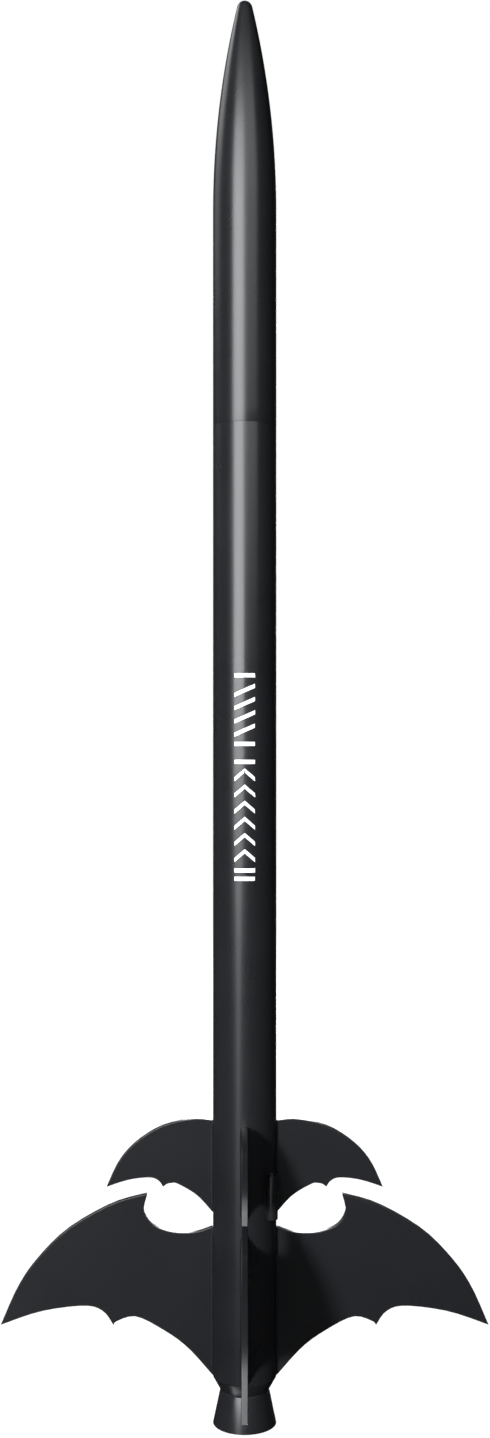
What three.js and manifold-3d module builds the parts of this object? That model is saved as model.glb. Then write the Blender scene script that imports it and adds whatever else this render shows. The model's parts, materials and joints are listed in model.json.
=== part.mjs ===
// Model rocket: a paper body tube with two tiers of scalloped fins, an ogive nose that pulls off,
// an engine mount, and a boat tail that flares into an exhaust nozzle.
// Millimetres, +Z up the airframe. The origin is the centre of the nozzle's exit rim, and the
// four sets of fins stand in the planes of the X and Y axes.

import * as THREE from "three";
import { mergeVertices } from "three/addons/utils/BufferGeometryUtils.js";
import Module from "manifold-3d";

const wasm = await Module();
wasm.setup();

// Clearances
const glueGap = 0.1; // left for glue between two fixed pieces
const sleeveGap = 0.05; // between the engine tube and the mouldings that slip over it
const slideGap = 0.15; // between the nose shoulder and the bore it slides in
const seatGap = 0.1; // between the faces of two pieces that meet end to end
const looseGap = 0.3; // round a piece that lies or moves freely
const cutOver = 1; // how far a cutting solid reaches past what it cuts

// Body tube
const tubeRadius = 12.4;
const tubeWall = 0.33;
const tubeLength = 370.6;

// Tail
const nozzleLength = 13.1;
const nozzleExitRadius = 12.4;
const nozzleRim = 0.8; // wall at the exit
const neckWall = 0.2; // wall of the mouldings where they are slimmest
const neckGroove = 0.4; // bare ring of engine tube between nozzle and boat tail
const boatTailLength = 5.05;
const boatTailShoulder = 5; // length inside the body tube
const boatTailWall = 1;

// Nose
const skirtLength = 84.3; // straight part above the tube
const ogiveLength = 91.8; // tangent ogive, measured to the sharp point that the tip rounds off
const tipRadius = 3.1;
const noseWall = 1.2;
const shoulderLength = 19;
const basePlugThickness = 2;
const eyeletRadius = 1.7;
const eyeletBar = 1.6;

// Engine mount, for an engine 18 mm across and 70 mm long
const engineTubeBore = 9;
const engineTubeWall = 0.35;
const engineTubeLength = 70;
const engineTubeStart = 9;
const engineLength = 70;
const engineStickOut = 7; // length of engine below its tube
const thrustRingLength = 6;
const thrustRingWall = 2;
const centeringRingThickness = 3;
const aftRingRise = 0.65; // above the boat tail's shoulder
const forwardRingDrop = 1.5; // below the top of the engine tube

// Engine hook, a strip of spring steel with both ends bent in over the engine's ends
const hookAzimuth = THREE.MathUtils.degToRad(135);
const hookWidth = 3.2;
const hookThickness = 0.6;
const hookReach = 2.25; // how far a bent end stands in past the engine tube's outside
const hookHinge = 36; // height where the free end starts to flex
const hookThrow = 2.2; // room for the free end's outward travel at the nozzle
const hookBandLength = 8;
const hookBandRise = 8; // above the hinge
const hookBandThickness = 0.3;
const hookSideGap = 0.4;

// Fins, two tiers of four
const finThickness = 2.4;
const upperFinRise = 63.65; // from the tube's lower end to the upper fin's root

// Launch lug
const lugRadius = 2.3;
const lugWall = 0.3;
const lugLength = 16.9;
const lugRise = 63.9; // above the tube's lower end
const lugAzimuth = THREE.MathUtils.degToRad(-45);

// Recovery gear
const anchorLength = 22;
const anchorThickness = 0.5;
const anchorHalfAngle = THREE.MathUtils.degToRad(25);
const anchorAzimuth = THREE.MathUtils.degToRad(135);
const anchorDrop = 8.3; // from the nose's base to the top of the anchor
const parachuteLength = 76;
const parachuteDrop = 12.3; // from the nose's base to the top of the bundle
const parachuteEdge = 3;

// Places that follow from the sizes above
const boreRadius = tubeRadius - tubeWall;
const engineTubeRadius = engineTubeBore + engineTubeWall;
const sleeveRadius = engineTubeRadius + sleeveGap;
const neckRadius = sleeveRadius + neckWall;
const boatTailStart = nozzleLength + neckGroove;
const tubeStart = boatTailStart + boatTailLength;
const tubeEnd = tubeStart + seatGap + tubeLength;
const noseSeat = tubeEnd + seatGap;
const noseBase = noseSeat - shoulderLength;
const fittedRadius = boreRadius - glueGap; // of what is glued into the body tube
const shoulderRadius = boreRadius - slideGap;
const engineAft = engineTubeStart - engineStickOut;
const engineFore = engineAft + engineLength;
const engineTubeEnd = engineTubeStart + engineTubeLength;
const hookInside = engineTubeRadius + glueGap;
const hookOutside = hookInside + hookThickness;

const roundSides = 48;

const paint = { color: 0x2a2b2c, roughness: 0.38, metalness: 0 };
const finPaint = { color: 0x2a2b2c, roughness: 0.5, metalness: 0 };
const kraftPaper = { color: 0xa98d68, roughness: 0.85, metalness: 0 };
const springSteel = { color: 0x9a9c9e, roughness: 0.3, metalness: 1 };
const orangeFilm = { color: 0xd9541e, roughness: 0.4, metalness: 0 };

// Solid of revolution about Z. The profile holds [radius, height] pairs with the material on its left.
function lathe(profile, sides = roundSides) {
  const points = profile.map(([r, z]) => new THREE.Vector2(r, z));
  return new THREE.LatheGeometry(points, sides).rotateX(Math.PI / 2);
}

// Straight ring about Z from height z0 to z1.
function ring(innerRadius, outerRadius, z0, z1, sides = roundSides) {
  return lathe(
    [
      [innerRadius, z0],
      [outerRadius, z0],
      [outerRadius, z1],
      [innerRadius, z1],
      [innerRadius, z0],
    ],
    sides,
  );
}

function cylinder(radius, z0, z1) {
  return lathe([
    [0, z0],
    [radius, z0],
    [radius, z1],
    [0, z1],
  ]);
}

function box(low, high) {
  const size = high.map((value, i) => value - low[i]);
  const middle = high.map((value, i) => (value + low[i]) / 2);
  return new THREE.BoxGeometry(...size).translate(...middle);
}

// Plate of the given thickness with its outline in the XZ plane, centred on Y = 0.
function uprightPlate(shape, thickness, curveSegments) {
  return new THREE.ExtrudeGeometry(shape, { depth: thickness, bevelEnabled: false, curveSegments })
    .translate(0, 0, -thickness / 2)
    .rotateX(Math.PI / 2);
}

function toSolid(geometry) {
  const bare = geometry.index ? geometry.toNonIndexed() : geometry.clone();
  bare.deleteAttribute("normal");
  bare.deleteAttribute("uv");
  const merged = mergeVertices(bare, 1e-4);
  return new wasm.Manifold(
    new wasm.Mesh({
      numProp: 3,
      vertProperties: merged.attributes.position.array,
      triVerts: new Uint32Array(merged.index.array),
    }),
  );
}

function toGeometry(solid) {
  const mesh = solid.getMesh();
  return new THREE.BufferGeometry()
    .setAttribute("position", new THREE.BufferAttribute(mesh.vertProperties, 3))
    .setIndex(new THREE.BufferAttribute(mesh.triVerts, 1));
}

// The geometry with the cutter, turned to the hook's azimuth, taken away.
function cutAtHook(geometry, cutter) {
  return toGeometry(toSolid(geometry).subtract(toSolid(cutter.rotateZ(hookAzimuth))));
}

// Room for the hook: a slot from the axis out to a radius, as wide as the strip and its side gaps.
function hookSlot(outerRadius, z0, z1) {
  const half = hookWidth / 2 + hookSideGap;
  return box([0, -half, z0], [outerRadius, half, z1]);
}

// One arc of a profile, from one angle to another, as [radius, height] pairs.
function arcPoints(centreRadius, centreHeight, radius, fromAngle, toAngle, steps) {
  return Array.from({ length: steps + 1 }, (_, i) => {
    const angle = THREE.MathUtils.lerp(fromAngle, toAngle, i / steps);
    return [centreRadius + radius * Math.cos(angle), centreHeight + radius * Math.sin(angle)];
  });
}

// Hollow nose: a shoulder, a straight skirt, and a tangent ogive whose tip is part of a sphere.
function noseCone() {
  const ogiveBase = noseSeat + skirtLength;
  const ogiveRadius = (tubeRadius ** 2 + ogiveLength ** 2) / (2 * tubeRadius);
  const centreRadius = tubeRadius - ogiveRadius;
  const tipCentre = ogiveBase + Math.sqrt((ogiveRadius - tipRadius) ** 2 - centreRadius ** 2);
  const joinAngle = Math.atan2(tipCentre - ogiveBase, -centreRadius);
  const surface = (wall) => [
    ...arcPoints(centreRadius, ogiveBase, ogiveRadius - wall, 0, joinAngle, 10),
    ...arcPoints(0, tipCentre, tipRadius - wall, joinAngle, Math.PI / 2, 4).slice(1, -1),
    [0, tipCentre + tipRadius - wall],
  ];
  return lathe([
    ...surface(noseWall).reverse(),
    [tubeRadius - noseWall, noseSeat + noseWall],
    [shoulderRadius - noseWall, noseSeat],
    [shoulderRadius - noseWall, noseBase],
    [shoulderRadius, noseBase],
    [shoulderRadius, noseSeat],
    [tubeRadius, noseSeat],
    ...surface(0),
  ]);
}

// Disc that closes the nose's shoulder, with a loop below it for the shock cord.
function nosePlug() {
  const disc = cylinder(shoulderRadius - noseWall - glueGap, noseBase, noseBase + basePlugThickness);
  const loopRadius = eyeletRadius + eyeletBar;
  const loopShape = new THREE.Shape().absarc(0, 0, loopRadius, 0, 2 * Math.PI);
  loopShape.holes.push(new THREE.Path().absarc(0, 0, eyeletRadius, 0, 2 * Math.PI, true));
  const loop = uprightPlate(loopShape, eyeletBar, 12).translate(0, 0, noseBase - eyeletRadius);
  return toGeometry(toSolid(disc).add(toSolid(loop)));
}

function bodyTube() {
  return ring(boreRadius, tubeRadius, tubeStart + seatGap, tubeEnd);
}

// Moulded boat tail: a short cone over the engine tube, with a shoulder inside the body tube.
function boatTail() {
  const shoulderTop = tubeStart + boatTailShoulder;
  const shell = lathe([
    [sleeveRadius, boatTailStart],
    [neckRadius, boatTailStart],
    [tubeRadius, tubeStart],
    [fittedRadius, tubeStart],
    [fittedRadius, shoulderTop],
    [fittedRadius - boatTailWall, shoulderTop],
    [fittedRadius - boatTailWall, tubeStart + boatTailWall],
    [sleeveRadius, tubeStart - boatTailWall],
    [sleeveRadius, boatTailStart],
  ]);
  const slotRadius = fittedRadius - boatTailWall / 2;
  return cutAtHook(shell, hookSlot(slotRadius, boatTailStart - cutOver, shoulderTop + cutOver));
}

// Flared nozzle: a sleeve over the end of the engine tube, open into a straight-sided bell.
function exhaustNozzle() {
  const bell = lathe([
    [nozzleExitRadius - nozzleRim, 0],
    [nozzleExitRadius, 0],
    [neckRadius, nozzleLength],
    [sleeveRadius, nozzleLength],
    [sleeveRadius, engineTubeStart - seatGap],
    [nozzleExitRadius - nozzleRim, 0],
  ]);
  return cutAtHook(bell, hookSlot(nozzleExitRadius + cutOver, -cutOver, nozzleLength + cutOver));
}

// Paper tube that the engine slides into, with a slit for the hook's forward end.
function engineTube() {
  const tube = ring(engineTubeBore, engineTubeRadius, engineTubeStart, engineTubeEnd);
  const slit = hookSlot(hookOutside, engineFore - glueGap, engineFore + hookThickness + glueGap);
  return cutAtHook(tube, slit);
}

// Ring that the engine pushes against, above the hook's forward end.
function thrustRing() {
  const bottom = engineFore + hookThickness + glueGap;
  const outer = engineTubeBore - glueGap;
  return ring(outer - thrustRingWall, outer, bottom, bottom + thrustRingLength);
}

function forwardCenteringRing() {
  const top = engineTubeEnd - forwardRingDrop;
  return ring(engineTubeRadius + glueGap, fittedRadius, top - centeringRingThickness, top);
}

// The aft ring has a notch that the hook flexes into.
function aftCenteringRing() {
  const bottom = tubeStart + boatTailShoulder + aftRingRise;
  const top = bottom + centeringRingThickness;
  const whole = ring(engineTubeRadius + glueGap, fittedRadius, bottom, top);
  const notch = hookSlot(hookOutside + hookThrow / 2, bottom - cutOver, top + cutOver);
  return cutAtHook(whole, notch);
}

// Thin band round the engine tube that bulges over the hook and holds it down.
function hookBand() {
  const z0 = hookHinge + hookBandRise;
  const z1 = z0 + hookBandLength;
  const wrap = (grow, over) => {
    const half = hookWidth / 2 + glueGap + grow;
    const round = toSolid(cylinder(engineTubeRadius + glueGap + grow, z0 - over, z1 + over));
    return round.add(toSolid(box([0, -half, z0 - over], [hookOutside + glueGap + grow, half, z1 + over])));
  };
  return toGeometry(wrap(hookBandThickness, 0).subtract(wrap(0, cutOver)));
}

// One half of the hook: a straight strip from z0 to z1 whose far end, at z1, is bent in to the axis.
// With z1 below z0 the bent end is the lower one.
function hookHalf(z0, z1) {
  const side = Math.sign(z1 - z0);
  const tip = engineTubeRadius - hookReach;
  const bend = hookThickness;
  const edges = [
    [hookInside, z0],
    [hookOutside, z0],
    [hookOutside, z1 - side * bend],
    [hookOutside - bend, z1],
    [tip, z1],
    [tip, z1 - side * hookThickness],
    [hookInside, z1 - side * hookThickness],
  ];
  const shape = new THREE.Shape(edges.map(([x, z]) => new THREE.Vector2(x, z)));
  return uprightPlate(shape, hookWidth, 1);
}

// Fin outlines: x is the distance out from the root, y the height above the root's lower end.
function finShape(rootTop, ...edges) {
  const shape = new THREE.Shape().moveTo(0, 0).lineTo(0, rootTop);
  edges.forEach((edge) => shape.splineThru(edge.map(([x, y]) => new THREE.Vector2(x, y))));
  return shape;
}

function upperFin() {
  const leadingEdge = [[8.2, 36.5], [20.2, 33.6], [30.2, 27.3], [36.8, 19.8], [41.5, 9.9]];
  const outerScallop = [[34.6, 12.2], [29.1, 13.3], [23.8, 13.5], [20.9, 12.1], [19.4, 9.9]];
  const innerScallop = [[18, 11], [16.2, 11.4], [13.6, 11.1], [6.1, 6.6], [0, 0]];
  return uprightPlate(finShape(36, leadingEdge, outerScallop, innerScallop), finThickness, 3);
}

function lowerFin() {
  const bite = [[7, 55.9], [15.7, 55.9], [23.5, 58.8], [26.8, 64.3], [25.5, 71]];
  const leadingEdge = [[39.6, 66.9], [56.8, 57], [68.8, 45.2], [76.4, 34.1], [82.9, 19.6]];
  const outerScallop = [[67.2, 24.9], [50.3, 27.1], [42.9, 25], [38.8, 19.5]];
  const innerScallop = [[37.2, 21.2], [29.9, 22.9], [19.5, 17.8], [9.9, 10.9], [0, 0]];
  return uprightPlate(finShape(58.2, bite, leadingEdge, outerScallop, innerScallop), finThickness, 3);
}

function launchLug() {
  return ring(lugRadius - lugWall, lugRadius, 0, lugLength, 24);
}

// Folded paper pad glued inside the tube, which holds the end of the shock cord.
function shockCordAnchor() {
  const top = noseBase - anchorDrop;
  const inner = fittedRadius - anchorThickness;
  const shape = new THREE.Shape()
    .absarc(0, 0, fittedRadius, -anchorHalfAngle, anchorHalfAngle, false)
    .absarc(0, 0, inner, anchorHalfAngle, -anchorHalfAngle, true);
  return new THREE.ExtrudeGeometry(shape, { depth: anchorLength, bevelEnabled: false, curveSegments: 8 })
    .translate(0, 0, top - anchorLength);
}

// Rolled canopy with soft ends, which slides past the anchor.
function parachuteBundle() {
  const top = noseBase - parachuteDrop;
  const bottom = top - parachuteLength;
  const radius = fittedRadius - anchorThickness - looseGap;
  const inner = radius - parachuteEdge;
  return lathe([
    [0, bottom],
    ...arcPoints(inner, bottom + parachuteEdge, parachuteEdge, -Math.PI / 2, 0, 4),
    ...arcPoints(inner, top - parachuteEdge, parachuteEdge, 0, Math.PI / 2, 4),
    [0, top],
  ]);
}

function addPiece(parent, name, geometry, finish) {
  const mesh = new THREE.Mesh(geometry, new THREE.MeshStandardMaterial(finish));
  mesh.name = name;
  parent.add(mesh);
  return mesh;
}

function addFins(parent) {
  const places = { right: 0, back: Math.PI / 2, left: Math.PI, front: -Math.PI / 2 };
  const tiers = { upper_fin: [upperFin(), upperFinRise], lower_fin: [lowerFin(), 0] };
  for (const [place, azimuth] of Object.entries(places)) {
    const station = new THREE.Group();
    station.rotation.z = azimuth;
    parent.add(station);
    for (const [tier, [geometry, rise]] of Object.entries(tiers)) {
      const fin = addPiece(station, `${tier}_${place}`, geometry, finPaint);
      fin.position.set(tubeRadius + glueGap, 0, tubeStart + seatGap + rise);
    }
  }
}

function addEngineMount(parent) {
  addPiece(parent, "engine_tube", engineTube(), kraftPaper);
  addPiece(parent, "thrust_ring", thrustRing(), kraftPaper);
  addPiece(parent, "forward_centering_ring", forwardCenteringRing(), kraftPaper);
  addPiece(parent, "aft_centering_ring", aftCenteringRing(), kraftPaper);
  const hookSide = new THREE.Group();
  hookSide.rotation.z = hookAzimuth;
  parent.add(hookSide);
  addPiece(hookSide, "hook_band", hookBand(), orangeFilm);
  const shank = hookHalf(hookHinge + seatGap, engineFore + hookThickness);
  const tail = hookHalf(hookHinge - seatGap, engineAft - hookThickness);
  addPiece(hookSide, "engine_hook_shank", shank, springSteel);
  addPiece(hookSide, "engine_hook_tail", tail, springSteel);
}

function addRecoveryGear(parent) {
  const anchor = addPiece(parent, "shock_cord_anchor", shockCordAnchor(), kraftPaper);
  anchor.rotation.z = anchorAzimuth;
  addPiece(parent, "parachute", parachuteBundle(), orangeFilm);
}

const rocket = new THREE.Group();

const nose = new THREE.Group();
addPiece(nose, "nose_cone", noseCone(), paint);
addPiece(nose, "nose_base_plug", nosePlug(), paint);
rocket.add(nose);

addPiece(rocket, "body_tube", bodyTube(), paint);
addPiece(rocket, "boat_tail", boatTail(), paint);
addPiece(rocket, "exhaust_nozzle", exhaustNozzle(), paint);
addFins(rocket);
addEngineMount(rocket);
addRecoveryGear(rocket);

const lug = addPiece(rocket, "launch_lug", launchLug(), paint);
const lugDistance = tubeRadius + glueGap + lugRadius;
lug.position.set(
  lugDistance * Math.cos(lugAzimuth),
  lugDistance * Math.sin(lugAzimuth),
  tubeStart + lugRise,
);

export default rocket;
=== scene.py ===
import itertools
import json
import math

import bmesh
import bpy
import numpy as np
from mathutils import Matrix, Vector


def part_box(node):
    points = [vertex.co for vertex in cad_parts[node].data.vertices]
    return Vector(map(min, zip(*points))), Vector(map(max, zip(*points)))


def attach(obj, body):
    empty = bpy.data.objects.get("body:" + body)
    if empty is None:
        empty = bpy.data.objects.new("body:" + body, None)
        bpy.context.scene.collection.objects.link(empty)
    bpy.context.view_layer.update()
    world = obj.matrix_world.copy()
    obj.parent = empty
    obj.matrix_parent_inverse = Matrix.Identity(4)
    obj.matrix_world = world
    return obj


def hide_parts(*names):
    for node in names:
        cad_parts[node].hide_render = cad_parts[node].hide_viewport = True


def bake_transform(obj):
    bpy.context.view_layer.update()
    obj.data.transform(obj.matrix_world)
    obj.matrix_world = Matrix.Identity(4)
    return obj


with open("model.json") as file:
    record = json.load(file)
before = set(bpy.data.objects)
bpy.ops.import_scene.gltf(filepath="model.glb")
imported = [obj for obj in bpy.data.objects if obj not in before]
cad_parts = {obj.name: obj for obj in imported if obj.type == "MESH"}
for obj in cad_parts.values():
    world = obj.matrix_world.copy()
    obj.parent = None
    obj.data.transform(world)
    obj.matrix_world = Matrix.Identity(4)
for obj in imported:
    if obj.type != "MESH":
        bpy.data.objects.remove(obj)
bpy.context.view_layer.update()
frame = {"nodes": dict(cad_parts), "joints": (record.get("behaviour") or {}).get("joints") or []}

# A model rocket standing on its nozzle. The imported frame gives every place; this script gives
# the finished surfaces. Lengths in the dictionaries are millimetres and become metres on use.

mm = 0.001
scene = bpy.context.scene
boxOf = {name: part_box(name) for name in frame["nodes"]}
joints = {joint["name"]: joint for joint in frame["joints"]}


def nodeRadius(name):  # half the width of a round node that stands on the Z axis
    return boxOf[name][1].x


def bottomOf(name):  # the node's lowest height
    return boxOf[name][0].z


def topOf(name):  # the node's highest height
    return boxOf[name][1].z


tubeRadius = nodeRadius("body_tube")
hingeAt = Vector(joints["hook_flex"]["pos_m"])
hookAzimuth = math.atan2(hingeAt.y, hingeAt.x)
lugCentre = (boxOf["launch_lug"][0] + boxOf["launch_lug"][1]) / 2
lugAzimuth = math.atan2(lugCentre.y, lugCentre.x)


cameraSetup = {
    "distance": 629.0,  # in front of the rocket's axis
    "height": 261.6,
    "lens": 40.23,
    "sensor": 36.0,  # along the frame's long side
    "shiftX": 0.0002,  # shares of the long side, just enough to set the rocket in the frame
    "shiftY": 0.0240,
}

cameraData = bpy.data.cameras.new("camera")
cameraData.lens = cameraSetup["lens"]
cameraData.sensor_width = cameraSetup["sensor"]
cameraData.shift_x = cameraSetup["shiftX"]
cameraData.shift_y = cameraSetup["shiftY"]
cameraData.clip_start = 10 * mm
camera = bpy.data.objects.new("camera", cameraData)
camera.location = (0, -cameraSetup["distance"] * mm, cameraSetup["height"] * mm)
camera.rotation_euler = (math.pi / 2, 0, 0)
scene.collection.objects.link(camera)
scene.camera = camera
print("camera placed")


meshing = {
    "join": 1e-7,  # metres, as the next one; made points nearer than this are one
    "joinCut": 1e-6,  # the same for points that come from the CAD or from a cut
    "flat": 0.6,  # degrees; CAD faces this near to one plane become one face
    "crisp": 40,  # degrees; sharper edges than this stay crisp
    "crispNode": 35,  # the same on pieces made from a CAD node, whose sharp edges are rounded
    "sides": 192,  # around a large turned piece
}


# Joins points nearer than a distance. Then it merges faces that lie flat to within an angle, or
# clears slivers a tenth as thin, and it can turn the faces outwards.
def cleanMesh(mesh, join, flat=None, outwards=False):
    work = bmesh.new()
    work.from_mesh(mesh)
    bmesh.ops.remove_doubles(work, verts=work.verts, dist=join)
    if flat:
        limit = math.radians(flat)
        bmesh.ops.dissolve_limit(work, angle_limit=limit, verts=work.verts, edges=work.edges)
    else:
        bmesh.ops.dissolve_degenerate(work, edges=work.edges, dist=join / 10)
    if outwards:
        bmesh.ops.recalc_face_normals(work, faces=work.faces)
    work.to_mesh(mesh)
    work.free()


def shadeMesh(mesh, crisp):  # smooth, apart from edges sharper than an angle in degrees
    mesh.shade_smooth()
    mesh.set_sharp_from_angle(angle=math.radians(crisp))


def newPiece(name, mesh):  # an object at the origin, with its place in its mesh
    piece = bpy.data.objects.new(name, mesh)
    scene.collection.objects.link(piece)
    return piece


# Puts points and faces into a new piece, joins its doubles and turns its faces outwards.
def meshPiece(name, points, faces, crisp=meshing["crisp"]):
    mesh = bpy.data.meshes.new(name)
    mesh.from_pydata(np.asarray(points, float).reshape(-1, 3).tolist(), [], faces)
    cleanMesh(mesh, meshing["join"], outwards=True)
    shadeMesh(mesh, crisp)
    return newPiece(name, mesh)


# Faces of a grid of rows by columns points, counted row by row. Either way round may close.
def gridFaces(rows, columns, closeRows=False, closeColumns=False):
    index = np.arange(rows * columns).reshape(rows, columns)
    if closeRows:
        index = np.vstack([index, index[:1]])
    if closeColumns:
        index = np.hstack([index, index[:, :1]])
    quads = np.stack([index[:-1, :-1], index[:-1, 1:], index[1:, 1:], index[1:, :-1]], axis=-1)
    return quads.reshape(-1, 4).tolist()


# Faces of a bar whose every row of points is one closed section, with a face over each end.
def barFaces(rows, columns):
    first, last = range(columns), range((rows - 1) * columns, rows * columns)
    return gridFaces(rows, columns, closeColumns=True) + [list(first), list(last)]


# Points on circles about the Z axis: x = r cos a, y = r sin a, z = h.
def polar(radius, angle, height):
    parts = np.broadcast_arrays(radius * np.cos(angle), radius * np.sin(angle), height)
    return np.stack(parts, axis=-1)


# Points a distance out from the Z axis and a distance across, turned to an azimuth:
# x = out cos a - across sin a, y = out sin a + across cos a, z = h.
def turnedTo(azimuth, out, across, height):
    cosine, sine = math.cos(azimuth), math.sin(azimuth)
    parts = [out * cosine - across * sine, out * sine + across * cosine, height]
    return np.stack(parts, axis=-1)


# An arc of (radius, height) pairs: r = c + R cos a, h = b + R sin a.
def arc(centreRadius, centreHeight, radius, start, stop, steps):
    angle = np.linspace(start, stop, steps)
    parts = [centreRadius + radius * np.cos(angle), centreHeight + radius * np.sin(angle)]
    return np.stack(parts, axis=1)


# Cuts each corner of a profile back by a small size, or by most of half a side where that is less,
# and rounds it: p = (1-t)^2 a + 2t(1-t) c + t^2 b, with c the corner and a, b the points cut to.
def softened(profile, size, steps=4, closed=True, mostOfSide=0.45):
    profile = np.asarray(profile, float)
    before, after = np.roll(profile, 1, axis=0), np.roll(profile, -1, axis=0)
    towards = [near - profile for near in (before, after)]
    lengths = [np.linalg.norm(side, axis=1, keepdims=True) for side in towards]
    cut = np.minimum(size, mostOfSide * np.minimum(*lengths))
    a, b = (
        profile + cut * side / np.maximum(length, 1e-12) for side, length in zip(towards, lengths)
    )
    t = np.linspace(0, 1, steps + 1)[None, :, None]
    rounded = (1 - t) ** 2 * a[:, None] + 2 * t * (1 - t) * profile[:, None] + t ** 2 * b[:, None]
    if closed:
        return rounded.reshape(-1, 2)
    return np.vstack([profile[:1], rounded[1:-1].reshape(-1, 2), profile[-1:]])


# The section of a plain tube: a rectangle from bore to outside, its corners softened.
def tubeProfile(bore, outer, low, high, edge):
    return softened([[bore, low], [outer, low], [outer, high], [bore, high]], edge * mm)


# Turns a profile of (radius, height) pairs about the Z axis.
def turned(name, profile, sides=meshing["sides"], closed=True):
    angle = np.linspace(0, 2 * math.pi, sides, endpoint=False)[None, :]
    points = polar(profile[:, :1], angle, profile[:, 1:])
    faces = gridFaces(len(profile), sides, closeRows=closed, closeColumns=True)
    return meshPiece(name, points, faces)


# Takes a block out of a piece with a boolean, and keeps the result as plain mesh. The block's
# corners are each choice of low or high in x, y and z, turned about the Z axis.
def cutAway(piece, low, high, azimuth):
    corners = np.array(list(itertools.product(*zip(low, high))))
    sides = [[0, 1, 3, 2], [4, 6, 7, 5], [0, 4, 5, 1], [2, 3, 7, 6], [0, 2, 6, 4], [1, 5, 7, 3]]
    turn = np.array(Matrix.Rotation(azimuth, 3, "Z"))
    block = meshPiece(piece.name + "_cut", corners @ turn.T, sides)
    cut = piece.modifiers.new("cut", "BOOLEAN")
    cut.object = block
    cut.solver = "EXACT"
    graph = bpy.context.evaluated_depsgraph_get()
    left = bpy.data.meshes.new_from_object(piece.evaluated_get(graph))
    piece.modifiers.clear()
    piece.data = left
    cleanMesh(left, meshing["joinCut"])
    shadeMesh(left, meshing["crisp"])
    bpy.data.objects.remove(block)


# Copies a CAD node's triangles, joins their doubles, clears the seams inside flat faces and
# rounds the sharp edges by a size.
def refined(name, node, edge, segments=3):
    mesh = frame["nodes"][node].data.copy()
    mesh.materials.clear()
    cleanMesh(mesh, meshing["joinCut"], flat=meshing["flat"])
    shadeMesh(mesh, meshing["crispNode"])
    piece = newPiece(name, mesh)
    bevel = piece.modifiers.new("edge", "BEVEL")
    bevel.width = edge * mm
    bevel.segments = segments
    bevel.limit_method = "ANGLE"
    bevel.angle_limit = math.radians(meshing["crispNode"])
    bevel.harden_normals = True
    return piece


# Finishes a piece: its material, the body it moves with and the nodes it stands for. The slot
# argument is not used.
def finish(piece, material, body, slot, *nodes):
    piece.data.materials.clear()
    piece.data.materials.append(material)
    if nodes:
        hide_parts(*nodes)
    if body:
        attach(piece, body)


# sRGB hex to the linear colour that Blender's sockets take: c / 12.92 up to 0.04045, and
# ((c + 0.055) / 1.055)^2.4 above it.
def fromHex(code):
    value = np.array([int(code[i:i + 2], 16) for i in (1, 3, 5)]) / 255
    value = np.where(value <= 0.04045, value / 12.92, ((value + 0.055) / 1.055) ** 2.4)
    return (*value.tolist(), 1.0)


# Adds one node. Settings are its own properties; feeds maps an input to a value, to a socket, or to
# a node, whose first live output is meant.
def addNode(tree, kind, feeds=None, **settings):
    made = tree.nodes.new("ShaderNode" + kind)
    for key, value in settings.items():
        setattr(made, key, value)
    for key, value in (feeds or {}).items():
        socket = made.inputs[key]
        if isinstance(value, bpy.types.Node):
            value = next(output for output in value.outputs if output.enabled)
        if isinstance(value, bpy.types.NodeSocket):
            tree.links.new(value, socket)
        else:
            socket.default_value = value
    return made


def emptyTree(owner):  # the cleared node tree of a material or a world
    owner.use_nodes = True
    owner.node_tree.nodes.clear()
    return owner.node_tree


# A new material, its tree, and the Object coordinates that every pattern here is laid on.
def newMaterial(name):
    material = bpy.data.materials.new(name)
    tree = emptyTree(material)
    return material, tree, addNode(tree, "TexCoord").outputs["Object"]


# Closes a material with its Principled shader. What is the same all over is a plain value there.
def surfaced(material, colour, roughness, bump, others=None):
    feeds = {"Base Color": colour, "Roughness": roughness, "Normal": bump}
    shader = addNode(material.node_tree, "BsdfPrincipled", feeds | (others or {}))
    addNode(material.node_tree, "OutputMaterial", {"Surface": shader})
    return material


# A finish that varies: its colour runs from dark to pale with one pattern, and its roughness from
# smoothest to roughest with another or the same. Both run in a straight line.
def varied(tree, finish, tintBy, glossBy):
    ends = {"A": fromHex(finish["dark"]), "B": fromHex(finish["pale"])}
    tint = addNode(tree, "Mix", {"Factor": tintBy} | ends, data_type="RGBA")
    limits = {"To Min": finish["smoothest"], "To Max": finish["roughest"]}
    gloss = addNode(tree, "MapRange", {"Value": glossBy} | limits)
    return tint, gloss


lacquer = {
    "colour": "#1c1d1f",
    "thin": "#191a1c",  # where the coat lies thinner
    "thinBelow": 0.3,  # of the noise; from here the coat thickens
    "fullAbove": 0.7,
}


# Satin black lacquer, sprayed: a slow noise with patches of a size says where the coat is thin and
# so a little darker. Roughness follows that noise or another pattern. Gives colour and roughness.
def lacquerCoat(tree, place, finish, glossBy=None):
    scale = 1 / (finish["patch"] * mm)
    spread = addNode(tree, "TexNoise", {"Vector": place, "Scale": scale, "Detail": 3.0})
    limits = {"To Min": finish["smoothest"], "To Max": finish["roughest"]}
    gloss = addNode(tree, "MapRange", {"Value": glossBy or spread} | limits)
    shade = addNode(tree, "ValToRGB", {"Fac": spread})
    thin, full = shade.color_ramp.elements
    thin.position = lacquer["thinBelow"]
    thin.color = fromHex(lacquer["thin"])
    full.position = lacquer["fullAbove"]
    full.color = fromHex(lacquer["colour"])
    return shade, gloss


# The parts x, y, z of a place, and its distance from the Z axis, sqrt(x^2 + y^2).
def partsAndReach(tree, place):
    parts = addNode(tree, "SeparateXYZ", {"Vector": place}).outputs
    flat = addNode(tree, "CombineXYZ", {"X": parts["X"], "Y": parts["Y"]})
    reach = addNode(tree, "VectorMath", {0: flat}, operation="LENGTH")
    return parts, reach


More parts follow.
